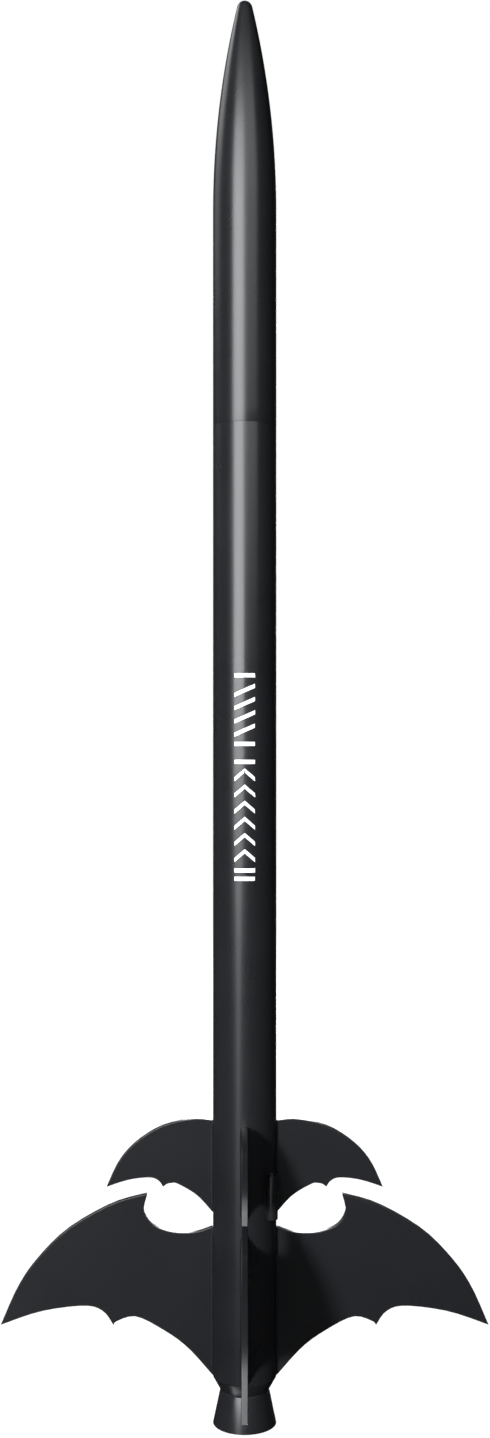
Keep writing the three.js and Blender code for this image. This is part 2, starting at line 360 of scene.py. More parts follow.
tubeFinish = {
    "patch": 22.2,  # overlapping passes of the spray
    "smoothest": 0.25,
    "roughest": 0.31,
    "pebble": 1.1,  # spray droplets flow out to about this size
    "pebbleDepth": 0.005,
    "drawLines": 1.8,  # lengthwise lines left by sanding the primer, coarser than real so they show
    "drawDepth": 0.035,
    "drawLength": 100,  # times their width
    "seamPitch": 62.0,  # rise of the paper's seam in one turn
    "seamWidth": 1.1,
    "seamDepth": 0.005,
    "seamStrength": 0.6,
    "bareBelow": 0.25,  # deeper than this under the tube's surface the paper is bare
    "paintDepth": 0.15,
    "paperDark": "#7d5f3d",
    "paperPale": "#bb9a70",
    "paperRoughness": 0.85,
    "fibre": 0.9,
}


# Sprayed lacquer over a spiral-wound paper tube: satin black, with the fine pebble of dried spray
# and the faint helical seam of the paper, which shows only in the highlights.
def sprayedPaperTube():
    material, tree, place = newMaterial("satin_black_lacquer_on_paper")
    shade, gloss = lacquerCoat(tree, place, tubeFinish)
    # Height in seam pitches less the angle's share of a turn is a ramp that the seam restarts.
    parts, reach = partsAndReach(tree, place)
    turn = addNode(tree, "Math", {0: parts["Y"], 1: parts["X"]}, operation="ARCTAN2")
    share = addNode(tree, "Math", {0: turn, 1: 1 / (2 * math.pi)}, operation="MULTIPLY")
    rise = addNode(
        tree, "Math", {0: parts["Z"], 1: 1 / (tubeFinish["seamPitch"] * mm)}, operation="MULTIPLY"
    )
    phase = addNode(tree, "Math", {0: rise, 1: share}, operation="SUBTRACT")
    wrapped = addNode(tree, "Math", {0: phase}, operation="FRACT")
    centred = addNode(tree, "Math", {0: wrapped, 1: 0.5}, operation="SUBTRACT")
    distance = addNode(tree, "Math", {0: centred}, operation="ABSOLUTE")
    groove = addNode(
        tree, "MapRange",
        {
            "Value": distance,
            "From Max": tubeFinish["seamWidth"] / tubeFinish["seamPitch"],
            "To Min": -1.0,
            "To Max": 0.0,
        },
        interpolation_type="SMOOTHSTEP",
    )
    seamBump = addNode(
        tree, "Bump",
        {
            "Height": groove,
            "Distance": tubeFinish["seamDepth"] * mm,
            "Strength": tubeFinish["seamStrength"],
        },
    )
    drawn = addNode(
        tree, "Mapping", {"Vector": place, "Scale": (1.0, 1.0, 1 / tubeFinish["drawLength"])}
    )
    lines = addNode(
        tree, "TexNoise",
        {"Vector": drawn, "Scale": 1 / (tubeFinish["drawLines"] * mm), "Detail": 2.0},
    )
    lineBump = addNode(
        tree, "Bump",
        {"Height": lines, "Distance": tubeFinish["drawDepth"] * mm, "Normal": seamBump},
    )
    pebble = addNode(
        tree, "TexNoise", {"Vector": place, "Scale": 1 / (tubeFinish["pebble"] * mm), "Detail": 2.0}
    )
    bump = addNode(
        tree, "Bump",
        {"Height": pebble, "Distance": tubeFinish["pebbleDepth"] * mm, "Normal": lineBump},
    )
    # Nearer the axis than the tube's outer skin the paper is bare: kraft brown, matt, fibrous.
    painted = addNode(
        tree, "MapRange",
        {
            "Value": reach,
            "From Min": tubeRadius - tubeFinish["bareBelow"] * mm,
            "From Max": tubeRadius - tubeFinish["paintDepth"] * mm,
        },
    )
    fibreScale = 1 / (tubeFinish["fibre"] * mm)
    fibres = addNode(
        tree, "TexNoise", {"Vector": place, "Scale": fibreScale, "Detail": 5.0, "Roughness": 0.7}
    )
    paper = addNode(
        tree, "Mix",
        {
            "Factor": fibres,
            "A": fromHex(tubeFinish["paperDark"]),
            "B": fromHex(tubeFinish["paperPale"]),
        },
        data_type="RGBA",
    )
    colour = addNode(tree, "Mix", {"Factor": painted, "A": paper, "B": shade}, data_type="RGBA")
    dull = addNode(
        tree, "Mix",
        {"Factor": painted, "A": tubeFinish["paperRoughness"], "B": gloss}, data_type="FLOAT",
    )
    return surfaced(material, colour, dull, bump)


mouldings = {  # flow is the length over which the wet paint levelled
    "nose": {"patch": 16.7, "smoothest": 0.255, "roughest": 0.305, "flow": 2.2, "flowDepth": 0.005},
    "tail": {"patch": 16.7, "smoothest": 0.235, "roughest": 0.285, "flow": 1.4, "flowDepth": 0.005},
}


# Injection-moulded polystyrene under the same lacquer: smoother than the tube, with a longer,
# shallower flow of the paint.
def sprayedPolystyrene(name, moulding):
    material, tree, place = newMaterial(name)
    shade, gloss = lacquerCoat(tree, place, moulding)
    skin = addNode(
        tree, "TexNoise", {"Vector": place, "Scale": 1 / (moulding["flow"] * mm), "Detail": 1.0}
    )
    bump = addNode(tree, "Bump", {"Height": skin, "Distance": moulding["flowDepth"] * mm})
    return surfaced(material, shade, gloss, bump)


balsa = {
    "patch": 33.3,
    "smoothest": 0.22,
    "roughest": 0.24,
    "grainLength": 30.0,
    "grainWidth": 0.7,
    "grainSlope": -35.0,  # degrees from level, along the leading edge
    "grainDepth": 0.0016,
    "grainStrength": 0.5,
    "spray": 1.11,
    "sprayDepth": 0.0012,
}


# Balsa sheet, filled and sprayed black. The filler leaves a trace of the long grain: a noise in the
# plane of (distance from the axis, height), turned to the slope and stretched along it.
def filledBalsa():
    material, tree, place = newMaterial("satin_black_lacquer_on_balsa")
    parts, reach = partsAndReach(tree, place)
    inFin = addNode(tree, "CombineXYZ", {"X": reach, "Y": parts["Z"]})
    sloped = addNode(
        tree, "VectorRotate",
        {"Vector": inFin, "Angle": -math.radians(balsa["grainSlope"])}, rotation_type="Z_AXIS",
    )
    stretch = (1 / (balsa["grainLength"] * mm), 1 / (balsa["grainWidth"] * mm), 1.0)
    along = addNode(tree, "VectorMath", {0: sloped, 1: stretch}, operation="MULTIPLY")
    grain = addNode(
        tree, "TexNoise", {"Vector": along, "Scale": 1.0, "Detail": 4.0, "Roughness": 0.6}
    )
    shade, gloss = lacquerCoat(tree, place, balsa, glossBy=grain)
    grainBump = addNode(
        tree, "Bump",
        {"Height": grain, "Distance": balsa["grainDepth"] * mm, "Strength": balsa["grainStrength"]},
    )
    spray = addNode(
        tree, "TexNoise", {"Vector": place, "Scale": 1 / (balsa["spray"] * mm), "Detail": 2.0}
    )
    bump = addNode(
        tree, "Bump", {"Height": spray, "Distance": balsa["sprayDepth"] * mm, "Normal": grainBump}
    )
    return surfaced(material, shade, gloss, bump)


papers = {
    "tube": {"dark": "#8a6a45", "pale": "#b8956a", "fibre": 0.25, "stretch": 8.0},
    "board": {"dark": "#6b4d2f", "pale": "#94714a", "fibre": 0.4, "stretch": 2.0},
    "bond": {"dark": "#d9d6cc", "pale": "#f2f0ea", "fibre": 0.2, "stretch": 4.0},
}
pulp = {
    "roughness": 0.85,
    "fibreDepth": 0.03,
    "cloud": 8.33,  # uneven pulp
    "darkBelow": 0.75,  # of the fibres and the clouds added up
    "paleAbove": 1.25,
    "speck": 0.455,  # a speck of overspray
    "speckReach": 1.6,  # how far the specks spread the edge downwards
    "bareFrom": 0.6,  # above the edge
    "bareTo": 1.4,
    "sprayRise": 1.0,  # how far the spray crept up the engine tube, inside the tail
}


# Kraft paper, kraft board or white bond paper: matt, with short fibres lighter and darker than the
# sheet. Stretch is the fibres' length over their width. Below the height oversprayedTo the black
# lacquer has reached the paper, with a fine speckled edge.
def paperSheet(name, sheet, oversprayedTo=None):
    material, tree, place = newMaterial(name)
    squash = addNode(tree, "Mapping", {"Vector": place, "Scale": (1.0, 1.0, sheet["stretch"])})
    fibres = addNode(
        tree, "TexNoise",
        {
            "Vector": squash,
            "Scale": 1 / (sheet["fibre"] * sheet["stretch"] * mm),
            "Detail": 6.0,
            "Roughness": 0.7,
        },
    )
    cloud = addNode(
        tree, "TexNoise", {"Vector": place, "Scale": 1 / (pulp["cloud"] * mm), "Detail": 2.0}
    )
    mixed = addNode(tree, "Math", {0: fibres, 1: cloud}, operation="ADD")
    shade = addNode(
        tree, "MapRange",
        {"Value": mixed, "From Min": pulp["darkBelow"], "From Max": pulp["paleAbove"]},
    )
    colour = addNode(
        tree, "Mix",
        {"Factor": shade, "A": fromHex(sheet["dark"]), "B": fromHex(sheet["pale"])},
        data_type="RGBA",
    )
    bump = addNode(tree, "Bump", {"Height": fibres, "Distance": pulp["fibreDepth"] * mm})
    if oversprayedTo is not None:
        parts = addNode(tree, "SeparateXYZ", {"Vector": place})
        speckle = addNode(
            tree, "TexNoise", {"Vector": place, "Scale": 1 / (pulp["speck"] * mm), "Detail": 3.0}
        )
        reached = addNode(
            tree, "Math",
            {0: speckle, 1: pulp["speckReach"] * mm, 2: parts.outputs["Z"]},
            operation="MULTIPLY_ADD",
        )
        bare = addNode(
            tree, "MapRange",
            {
                "Value": reached,
                "From Min": oversprayedTo + pulp["bareFrom"] * mm,
                "From Max": oversprayedTo + pulp["bareTo"] * mm,
            },
        )
        colour = addNode(
            tree, "Mix",
            {"Factor": bare, "A": fromHex(lacquer["thin"]), "B": colour}, data_type="RGBA",
        )
    return surfaced(material, colour, pulp["roughness"], bump)


steel = {
    "dark": "#8d9093",
    "pale": "#b2b1ad",
    "stain": 5.6,  # clouds of temper
    "rollingLines": 0.167,
    "lineLength": 33.3,  # times their width
    "lineDepth": 0.004,
    "smoothest": 0.24,
    "roughest": 0.42,
}


# Tempered spring steel strip: grey metal with rolling lines along its length.
def springSteel():
    material, tree, place = newMaterial("tempered_spring_steel")
    squash = addNode(
        tree, "Mapping", {"Vector": place, "Scale": (1.0, 1.0, 1 / steel["lineLength"])}
    )
    lines = addNode(
        tree, "TexNoise",
        {"Vector": squash, "Scale": 1 / (steel["rollingLines"] * mm), "Detail": 3.0},
    )
    stain = addNode(
        tree, "TexNoise", {"Vector": place, "Scale": 1 / (steel["stain"] * mm), "Detail": 3.0}
    )
    bump = addNode(tree, "Bump", {"Height": lines, "Distance": steel["lineDepth"] * mm})
    tint, gloss = varied(tree, steel, stain, lines)
    return surfaced(material, tint, gloss, bump, {"Metallic": 1.0})


film = {
    "dark": "#c2410c",
    "pale": "#ea6a1f",
    "through": 0.15,  # share of the light that goes into the film
    "throughReach": (1.0, 0.6, 0.4),
    "crumple": 3.85,
    "crumpleDepth": 0.25,
    "crumpleStrength": 0.7,
    "fold": 6.25,
    "smoothest": 0.28,
    "roughest": 0.45,
}


# Thin polyethylene film: bright, slippery, a little see-through, with fine crumples that catch the
# light in streaks.
def canopyFilm():
    material, tree, place = newMaterial("polyethylene_film")
    crumple = addNode(
        tree, "TexVoronoi",
        {"Vector": place, "Scale": 1 / (film["crumple"] * mm)}, feature="DISTANCE_TO_EDGE",
    )
    soft = addNode(
        tree, "TexNoise", {"Vector": place, "Scale": 1 / (film["fold"] * mm), "Detail": 3.0}
    )
    bump = addNode(
        tree, "Bump",
        {
            "Height": crumple,
            "Distance": film["crumpleDepth"] * mm,
            "Strength": film["crumpleStrength"],
        },
    )
    within = {
        "Subsurface Weight": film["through"],
        "Subsurface Radius": [reach * mm for reach in film["throughReach"]],
        "Subsurface Scale": 1.0,
    }
    tint, gloss = varied(tree, film, soft, soft)
    return surfaced(material, tint, gloss, bump, within)


ink = {
    "dark": "#f4f4f2",  # where it is worn
    "pale": "#ffffff",
    "wear": 4.55,
    "tooth": 0.4,  # the print screen's mesh
    "toothDepth": 0.006,
    "smoothest": 0.38,
    "roughest": 0.5,
}


# White water-slide decal ink: opaque, flat, with the faintest screen-print tooth.
def decalInk():
    material, tree, place = newMaterial("white_screen_ink")
    tooth = addNode(
        tree, "TexNoise", {"Vector": place, "Scale": 1 / (ink["tooth"] * mm), "Detail": 2.0}
    )
    wear = addNode(
        tree, "TexNoise", {"Vector": place, "Scale": 1 / (ink["wear"] * mm), "Detail": 4.0}
    )
    bump = addNode(tree, "Bump", {"Height": tooth, "Distance": ink["toothDepth"] * mm})
    tint, gloss = varied(tree, ink, wear, wear)
    return surfaced(material, tint, gloss, bump)


tubePaint = sprayedPaperTube()
nosePaint = sprayedPolystyrene("satin_black_lacquer_on_polystyrene", mouldings["nose"])
tailPaint = sprayedPolystyrene("black_polystyrene_moulding", mouldings["tail"])
finPaint = filledBalsa()
tubePaper = paperSheet(
    "spiral_wound_kraft_paper", papers["tube"],
    oversprayedTo=bottomOf("boat_tail") + pulp["sprayRise"] * mm,
)
ringBoard = paperSheet("dense_fibre_board", papers["board"])
bondPaper = paperSheet("folded_bond_paper", papers["bond"])
hookSteel = springSteel()
filmOrange = canopyFilm()
whiteInk = decalInk()
print("materials made")


nose = {
    "ogiveStart": 84.3,  # above the seat
    "ogiveLength": 91.8,  # to the sharp point that the tip rounds off
    "ogiveSteps": 70,
    "tipRadius": 3.1,
    "tipSteps": 22,
    "wall": 1.2,
    "skirtFoot": 6.0,  # height of the last straight point above the seat
    "seatGap": 0.03,
    "shoulderGap": 0.48,  # from the tube's outside to the shoulder's
    "edge": 0.05,
    "plugEdge": 0.25,
}


# Tangent ogive with a round tip, shifted inwards by a wall. The ogive's radius is
# (R^2 + L^2) / 2R, and the tip's centre is where a ball of its radius touches that arc inside.
def ogiveProfile(seat, wall):
    base, length = seat + nose["ogiveStart"] * mm, nose["ogiveLength"] * mm
    tip = nose["tipRadius"] * mm
    bend = (tubeRadius ** 2 + length ** 2) / (2 * tubeRadius)
    centre = tubeRadius - bend
    tipHeight = base + math.sqrt((bend - tip) ** 2 - centre ** 2)
    meet = math.atan2(tipHeight - base, -centre)
    side = arc(centre, base, bend - wall, 0, meet, nose["ogiveSteps"])
    cap = arc(0, tipHeight, tip - wall, meet, math.pi / 2, nose["tipSteps"])
    cap[-1, 0] = 0
    return np.vstack([side, cap[1:]])


# The nose is one shell: down inside the ogive, round the shoulder's open end, out over the seat and
# up outside.
def buildNose():
    seat, base = topOf("body_tube") + nose["seatGap"] * mm, bottomOf("nose_cone")
    shoulder = tubeRadius - nose["shoulderGap"] * mm
    wall = nose["wall"] * mm
    foot = seat + nose["skirtFoot"] * mm
    lower = softened(
        [
            [tubeRadius - wall, foot], [tubeRadius - wall, seat + wall], [shoulder - wall, seat],
            [shoulder - wall, base], [shoulder, base], [shoulder, seat],
            [tubeRadius, seat], [tubeRadius, foot],
        ],
        nose["edge"] * mm,
        closed=False,
    )
    profile = np.vstack([ogiveProfile(seat, wall)[::-1], lower, ogiveProfile(seat, 0)])
    shell = turned("nose_shell", profile, closed=False)
    finish(shell, nosePaint, "nose", "nose_paint", "nose_cone")
    plug = refined("nose_plug_with_eyelet", "nose_base_plug", nose["plugEdge"])
    finish(plug, nosePaint, "nose", "nose_paint", "nose_base_plug")


buildNose()
print("nose built")


tail = {
    "tubeWall": 0.33,
    "tubeEdge": 0.05,
    "sleeveGap": 0.05,  # between the engine tube and the mouldings on it
    "neckWall": 0.2,
    "exitWall": 0.8,
    "endGap": 0.1,  # below the ends of the body tube and the engine tube
    "glueGap": 0.1,
    "shoulderWall": 1.0,
    "edge": 0.18,
    "slotHalf": 2.0,  # half the width of the hook's slot
}


# The body tube is its wall's thin rectangle turned about the axis.
def buildTube():
    bore = tubeRadius - tail["tubeWall"] * mm
    low, high = bottomOf("body_tube"), topOf("body_tube")
    profile = tubeProfile(bore, tubeRadius, low, high, tail["tubeEdge"])
    tube = turned("body_tube_sprayed", profile)
    finish(tube, tubePaint, "airframe", "tube_paint", "body_tube")


# Two hollow turnings on the engine tube, cone and bell, each with the hook's slot cut through it.
def buildTail():
    sleeve = nodeRadius("engine_tube") + tail["sleeveGap"] * mm
    neck = sleeve + tail["neckWall"] * mm
    edge, half = tail["edge"] * mm, tail["slotHalf"] * mm
    low, shoulderTop = bottomOf("boat_tail"), topOf("boat_tail")
    start = bottomOf("body_tube") - tail["endGap"] * mm
    web = tail["shoulderWall"] * mm
    fitted = tubeRadius - (tail["tubeWall"] + tail["glueGap"]) * mm
    inner = fitted - web
    coneProfile = [
        [sleeve, low], [neck, low], [tubeRadius, start], [fitted, start],
        [fitted, shoulderTop], [inner, shoulderTop], [inner, start + web], [sleeve, start - web],
    ]
    cone = turned("boat_tail_cone", softened(coneProfile, edge))
    cutAway(cone, (0, -half, low - mm), (fitted - web / 2, half, shoulderTop + mm), hookAzimuth)
    finish(cone, tailPaint, "airframe", "tail_paint", "boat_tail")
    rim, height = nodeRadius("exhaust_nozzle"), topOf("exhaust_nozzle")
    step = bottomOf("engine_tube") - tail["endGap"] * mm
    bellProfile = [
        [rim - tail["exitWall"] * mm, 0], [rim, 0], [neck, height], [sleeve, height], [sleeve, step],
    ]
    bell = turned("exhaust_nozzle_bell", softened(bellProfile, edge))
    cutAway(bell, (0, -half, -mm), (rim + mm, half, height + mm), hookAzimuth)
    finish(bell, tailPaint, "airframe", "tail_paint", "exhaust_nozzle")


buildTube()
buildTail()
print("tube and tail built")


fins = {
    "places": {"right": 0, "back": 90, "left": 180, "front": 270},
    "edge": 0.32,  # sanded round along the cut edges
    "rootWithin": 0.2,  # points this near the root line are on it
    "fillet": 0.9,  # glue fillet along each root
    "taper": 3.0,  # length over which a fillet dies away at its ends
    "leastShare": 0.02,  # of its size, at the very ends
    "sunk": 0.03,  # the fillet's feet lie this far under both surfaces
    "inside": 0.15,  # and its back corner this far
    "rows": 25,
    "steps": 7,
}


# A glue fillet along the corner between a fin's face and the tube. Across, it is a quadratic
# curve from the tube to the fin; along, its size s(t) grows as the square root of the distance
# from an end, up to the taper's length.
def filletSolid(azimuth, side, half, low, high):
    t = np.linspace(0, 1, fins["rows"])
    ends = np.minimum(t, 1 - t) * (high - low) / (fins["taper"] * mm)
    size = fins["fillet"] * mm * np.sqrt(np.clip(ends, fins["leastShare"] ** 2, 1))[:, None]
    k = np.linspace(0, 1, fins["steps"])[None, :]
    onTube = half + size  # distance from the fin's middle plane where the fillet meets the tube
    foot = np.sqrt(tubeRadius ** 2 - onTube ** 2) - fins["sunk"] * mm
    corner = np.sqrt(tubeRadius ** 2 - half ** 2)
    out = (1 - k) ** 2 * foot + 2 * k * (1 - k) * corner + k ** 2 * (corner + size)
    across = (1 - k) ** 2 * onTube + 2 * k * (1 - k) * half + k ** 2 * (half - fins["sunk"] * mm)
    out = np.hstack([out, np.full(size.shape, corner - fins["inside"] * mm)])
    across = np.hstack([across, np.full(size.shape, half - fins["inside"] * mm)])
    height = np.broadcast_to((low + t * (high - low))[:, None], out.shape)
    points = turnedTo(math.radians(azimuth), out, across * side, height)
    return points.reshape(-1, 3), barFaces(*out.shape)


# Joins several solids of points and faces into one list of each.
def gathered(solids):
    points, faces, start = [], [], 0
    for solidPoints, solidFaces in solids:
        points.append(solidPoints)
        faces += [[start + index for index in face] for face in solidFaces]
        start += len(solidPoints)
    return np.vstack(points), faces


# The height where a fin's root ends: the highest of its points that lie on its root line.
def rootTop(node):
    points = np.array([v.co for v in frame["nodes"][node].data.vertices])
    reach = np.abs(points[:, :2]).max(axis=1)
    return points[reach < reach.min() + fins["rootWithin"] * mm, 2].max()


# Each fin is its CAD sheet with sanded edges, and a tier's eight fillets are one piece.
def buildFins():
    for tier in ("upper", "lower"):
        fillets = []
        for place, azimuth in fins["places"].items():
            node = f"{tier}_fin_{place}"
            fin = refined(f"{tier}_{place}_fin_sanded", node, fins["edge"])
            finish(fin, finPaint, "airframe", "fin_paint", node)
            low, high = boxOf[node]
            half = min(high.x - low.x, high.y - low.y) / 2
            for side in (-1, 1):
                fillets.append(filletSolid(azimuth, side, half, bottomOf(node), rootTop(node)))
        piece = meshPiece(f"{tier}_fin_fillets", *gathered(fillets))
        finish(piece, finPaint, "airframe", "fin_paint")


buildFins()
print("fins built")


lug = {
    "wall": 0.3,
    "edge": 0.08,
    "sides": 64,
    "glueHalf": 1.15,  # half the width of the glue line
    "glueTaper": 0.125,  # share of its length over which it grows to full width
    "glueLeast": 0.02,
    "sunk": 0.03,  # the glue's faces lie this far inside both walls
    "rows": 21,
    "steps": 9,
}


# The lug is a plain tube. Its glue line fills the wedge between the two round walls on both sides
# of where they touch: from sqrt(R^2 - w^2) on the body tube out to d - sqrt(r^2 - w^2) on the lug.
def buildLug():
    low, high = bottomOf("launch_lug"), topOf("launch_lug")
    outer = (boxOf["launch_lug"][1].x - boxOf["launch_lug"][0].x) / 2
    profile = tubeProfile(outer - lug["wall"] * mm, outer, low, high, lug["edge"])
    piece = turned("launch_lug_tube", profile, sides=lug["sides"])
    piece.data.transform(Matrix.Translation((lugCentre.x, lugCentre.y, 0)))
    finish(piece, tubePaint, "airframe", "tube_paint", "launch_lug")
    t = np.linspace(0, 1, lug["rows"])
    share = np.sqrt(np.clip(np.minimum(t, 1 - t) / lug["glueTaper"], lug["glueLeast"], 1))[:, None]
    across = lug["glueHalf"] * mm * share * np.linspace(-1, 1, lug["steps"])[None, :]
    tubeSide = np.sqrt(tubeRadius ** 2 - across ** 2) - lug["sunk"] * mm
    centreOut = math.hypot(lugCentre.x, lugCentre.y)
    lugSide = centreOut - np.sqrt(outer ** 2 - across ** 2) + lug["sunk"] * mm
    out = np.hstack([tubeSide, lugSide[:, ::-1]])
    across = np.hstack([across, across[:, ::-1]])
    height = np.broadcast_to((low + t * (high - low))[:, None], out.shape)
    points = turnedTo(lugAzimuth, out, across, height)
    glue = meshPiece("launch_lug_glue_line", points, barFaces(*out.shape))
    finish(glue, tubePaint, "airframe", "tube_paint")


buildLug()
print("lug built")


mount = {
    "tubeWall": 0.35,
    "tubeEdge": 0.1,
    "tubeSides": 128,
    "slit": 0.8,  # height of the slit that the hook's upper end goes through
    "slitDrop": 0.7,  # from the hook's top to the slit's lower side
    "ringEdge": 0.2,
    "bandEdge": 0.08,
    "edgeSegments": 2,
}


# The engine tube is turned too, and slit for the hook. The rings and the band keep the shapes of
# their nodes, with softened edges.
def buildMount():
    outer = nodeRadius("engine_tube")
    bore = outer - mount["tubeWall"] * mm
    low, high = bottomOf("engine_tube"), topOf("engine_tube")
    profile = tubeProfile(bore, outer, low, high, mount["tubeEdge"])
    tube = turned("engine_tube_wound", profile, sides=mount["tubeSides"])
    slitLow = topOf("engine_hook_shank") - mount["slitDrop"] * mm
    slitHigh = slitLow + mount["slit"] * mm
    half = tail["slotHalf"] * mm
    cutAway(tube, (0, -half, slitLow), (outer + mm, half, slitHigh), hookAzimuth)
    finish(tube, tubePaper, "airframe", "kraft_paper", "engine_tube")
    pieces = {
        "thrust_ring": ("thrust_ring_wound", tubePaper, "kraft_paper", "ringEdge"),
        "forward_centering_ring": ("forward_ring_board", ringBoard, "fibre_board", "ringEdge"),
        "aft_centering_ring": ("aft_ring_board", ringBoard, "fibre_board", "ringEdge"),
        "hook_band": ("hook_band_film", filmOrange, "band_film", "bandEdge"),
    }
    for node, (name, material, slot, edge) in pieces.items():
        piece = refined(name, node, mount[edge], mount["edgeSegments"])
        finish(piece, material, "airframe", slot, node)


hook = {
    "thickness": 0.6,
    "width": 3.2,
    "gap": 0.1,  # from the engine tube's outside to the strip
    "reachIn": 2.35,  # how far both ends turn in from the strip's inner face
    "bend": 0.55,
    "bendSteps": 7,
    "straightSteps": 32,
    "edge": 0.15,
    "nipped": 0.8,  # the two ends' share of the width
    "flexHalf": 4.0,  # the strip bends this far above and below the hinge line
}


# The hook is a flat strip carried along a path that turns in at both ends. Each bend is an arc,
# and the strip's section is a rectangle with its corners taken off, laid across the path:
# p = path + normal u, and v sideways.
def buildHook():
    thick, half = hook["thickness"] * mm, hook["width"] * mm / 2
    inside = nodeRadius("engine_tube") + hook["gap"] * mm
    middle = inside + thick / 2
    tip = inside - hook["reachIn"] * mm
    low, high = bottomOf("engine_hook_tail") + thick / 2, topOf("engine_hook_shank") - thick / 2
    bend = hook["bend"] * mm
    lower = arc(middle - bend, low + bend, bend, -math.pi / 2, 0, hook["bendSteps"])
    upper = arc(middle - bend, high - bend, bend, 0, math.pi / 2, hook["bendSteps"])
    climb = np.linspace(low + bend, high - bend, hook["straightSteps"])[1:-1]
    straight = np.stack([np.full(len(climb), middle), climb], axis=1)
    path = np.vstack([[[tip, low]], lower, straight, upper, [[tip, high]]])
    ahead = np.gradient(path, axis=0)
    ahead /= np.linalg.norm(ahead, axis=1, keepdims=True)
    normal = np.stack([ahead[:, 1], -ahead[:, 0]], axis=1)
    corners = [[-thick / 2, -half], [thick / 2, -half], [thick / 2, half], [-thick / 2, half]]
    section = softened(corners, hook["edge"] * mm, steps=2)
    narrow = np.ones(len(path))
    narrow[[0, -1]] = hook["nipped"]
    out = path[:, :1] + normal[:, :1] * section[None, :, 0]
    height = path[:, 1:] + normal[:, 1:] * section[None, :, 0]
    across = narrow[:, None] * section[None, :, 1]
    points = turnedTo(hookAzimuth, out, across, height)
    strip = meshPiece("engine_hook_strip", points, barFaces(*out.shape))
    finish(strip, hookSteel, None, "spring_steel", "engine_hook_shank", "engine_hook_tail")
    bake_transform(strip)


buildMount()
buildHook()
print("engine mount built")


canopy = {
    "cut": 305.0,  # across the flats of the hexagon
    "innerTurn": 1.6,
    "pitch": 0.37,  # from one turn of the roll to the next
    "sideGap": 0.15,
    "stepsPerTurn": 60,
    "rows": 27,
    "edgeDrop": 1.1,  # the roll's ends lie this far inside its space, give or take the wave
    "edgeWave": 0.9,
    "pinch": 0.16,  # share of the radius taken off at the ends
    "pinchLength": 0.09,  # share of the height over which that happens
    "crumple": 0.022,  # shares of the radius
    "ripple": 0.012,
    "swell": 1.035,  # the crumples' most, taken back off the radius
}


# The canopy is rolled into a spiral, r = a + p t, over its whole height. Its rows rise and fall by a
# few waves that differ along the roll, so its two ends are uneven, and it is pinched a little there.
# In the sines, whole numbers count the waves, and the others let them drift from turn to turn.
def buildParachute():
    low, high = bottomOf("parachute"), topOf("parachute")
    outer = (boxOf["parachute"][1].x - boxOf["parachute"][0].x) / 2 - canopy["sideGap"] * mm
    inner, pitch = canopy["innerTurn"] * mm, canopy["pitch"] * mm
    turns = (outer - inner) / pitch
    angle = np.linspace(0, 2 * math.pi * turns, int(turns * canopy["stepsPerTurn"]))[:, None]
    row = np.linspace(0, 1, canopy["rows"])[None, :]
    drift = np.sin(angle * 0.37) * np.sin(angle * 0.113 + 1.3)
    edge = canopy["edgeDrop"] * mm + canopy["edgeWave"] * mm * drift
    height = low + edge + (high - low - 2 * edge) * row
    nearEnd = 1 - np.clip(np.minimum(row, 1 - row) / canopy["pinchLength"], 0, 1)
    pinch = 1 - canopy["pinch"] * nearEnd ** 2
    wave = np.sin(5 * angle + 7 * row) * np.sin(3 * math.pi * row + angle * 0.21)
    ripple = np.sin(11 * angle - 9 * row)
    uneven = (1 + canopy["crumple"] * wave + canopy["ripple"] * ripple) / canopy["swell"]
    radius = (inner + pitch * angle / (2 * math.pi)) * pinch * uneven
    points = polar(radius, angle, height)
    roll = meshPiece("rolled_canopy", points, gridFaces(*radius.shape), crisp=180)
    finish(roll, filmOrange, "parachute", "canopy_film", "parachute")


anchor = {
    "ply": 0.15,
    "plyGap": 0.005,
    "halfAngle": 25.0,  # degrees to each side of its middle
    "plies": ((1.0, 0.0), (0.94, 1.2), (0.88, 2.6)),  # share of the width, and drop of its foot
    "topShare": 0.4,  # of that drop, at the top
    "bulge": 0.009,
    "bulgesAround": 9,  # in a turn
    "bulgePitch": 6.98,
    "columns": 24,
    "rows": 30,
}


# Three plies of paper folded over each other and pressed to the bore: each is a patch of the
# bore's cylinder with a slight bulge, sin(9a) sin(2 pi z / pitch), given its thickness.
def buildAnchor():
    low, high = bottomOf("shock_cord_anchor"), topOf("shock_cord_anchor")
    wallRadius = tubeRadius - (tail["tubeWall"] + tail["glueGap"]) * mm
    across = math.radians(anchor["halfAngle"]) * np.linspace(-1, 1, anchor["columns"])[:, None]
    for index, (share, drop) in enumerate(anchor["plies"]):
        a = hookAzimuth + share * across
        top = high - anchor["topShare"] * drop * mm
        z = np.linspace(low + drop * mm, top, anchor["rows"])[None, :]
        up = np.sin(2 * math.pi * z / (anchor["bulgePitch"] * mm))
        bulge = anchor["bulge"] * mm * np.sin(anchor["bulgesAround"] * a) * up
        r = wallRadius - (index + 1) * (anchor["ply"] + anchor["plyGap"]) * mm
        points = polar(r + bulge, a, z)
        patch = meshPiece(f"cord_anchor_ply_{index + 1}", points, gridFaces(*points.shape[:2]))
        solid = patch.modifiers.new("ply", "SOLIDIFY")
        solid.thickness = anchor["ply"] * mm
        solid.offset = 0
        names = ["shock_cord_anchor"] if index == 0 else []
        finish(patch, bondPaper, "airframe", "white_paper", *names)


buildParachute()
buildAnchor()
print("recovery gear built")


